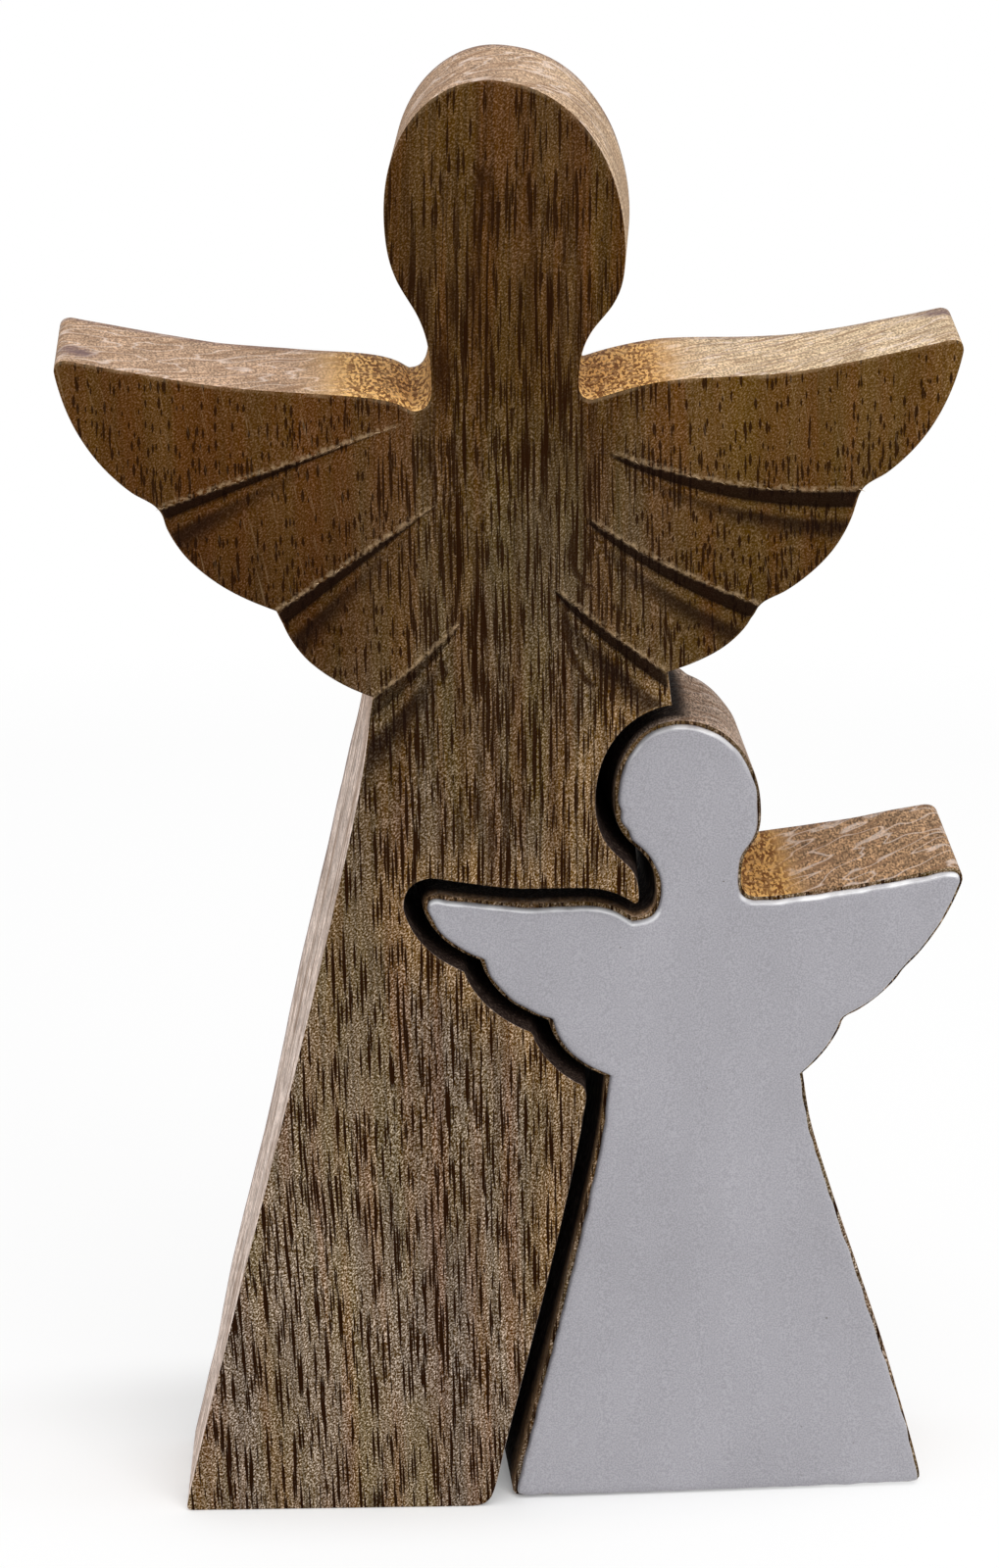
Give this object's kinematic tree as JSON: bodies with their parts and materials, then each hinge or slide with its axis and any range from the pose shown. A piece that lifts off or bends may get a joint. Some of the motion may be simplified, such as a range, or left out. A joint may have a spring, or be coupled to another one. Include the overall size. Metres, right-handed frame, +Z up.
{
  "type": "wooden angel figurine",
  "caption": "Flat sawn wooden angel with carved feather strokes, and a smaller enamel-fronted angel that stands loose in a nest cut through its gown.",
  "frame": {"origin": "under the middle of the pair's bounding box, on the surface that both angels stand on", "axes": "+Z up from the feet to the crown, -Y out of the carved and enamelled fronts, +X to the right of someone facing them"},
  "size_m": [0.1208, 0.0292, 0.2],
  "materials": {
    "large_angel_wood": "oiled dark on the fronts, raw sawn sides",
    "small_angel_wood": "raw sawn",
    "white_enamel": "poured gloss enamel"
  },
  "bodies": {
    "large_angel": {"large_angel": "large_angel_wood"},
    "small_angel": {"small_angel": "small_angel_wood", "small_angel_enamel": "white_enamel"}
  },
  "joints": [
    {"name": "small_angel_slide", "type": "slide", "parent": "large_angel", "child": "small_angel", "axis": [0, -1, 0], "range_m": [-0.04, 0.04]}
  ]
}
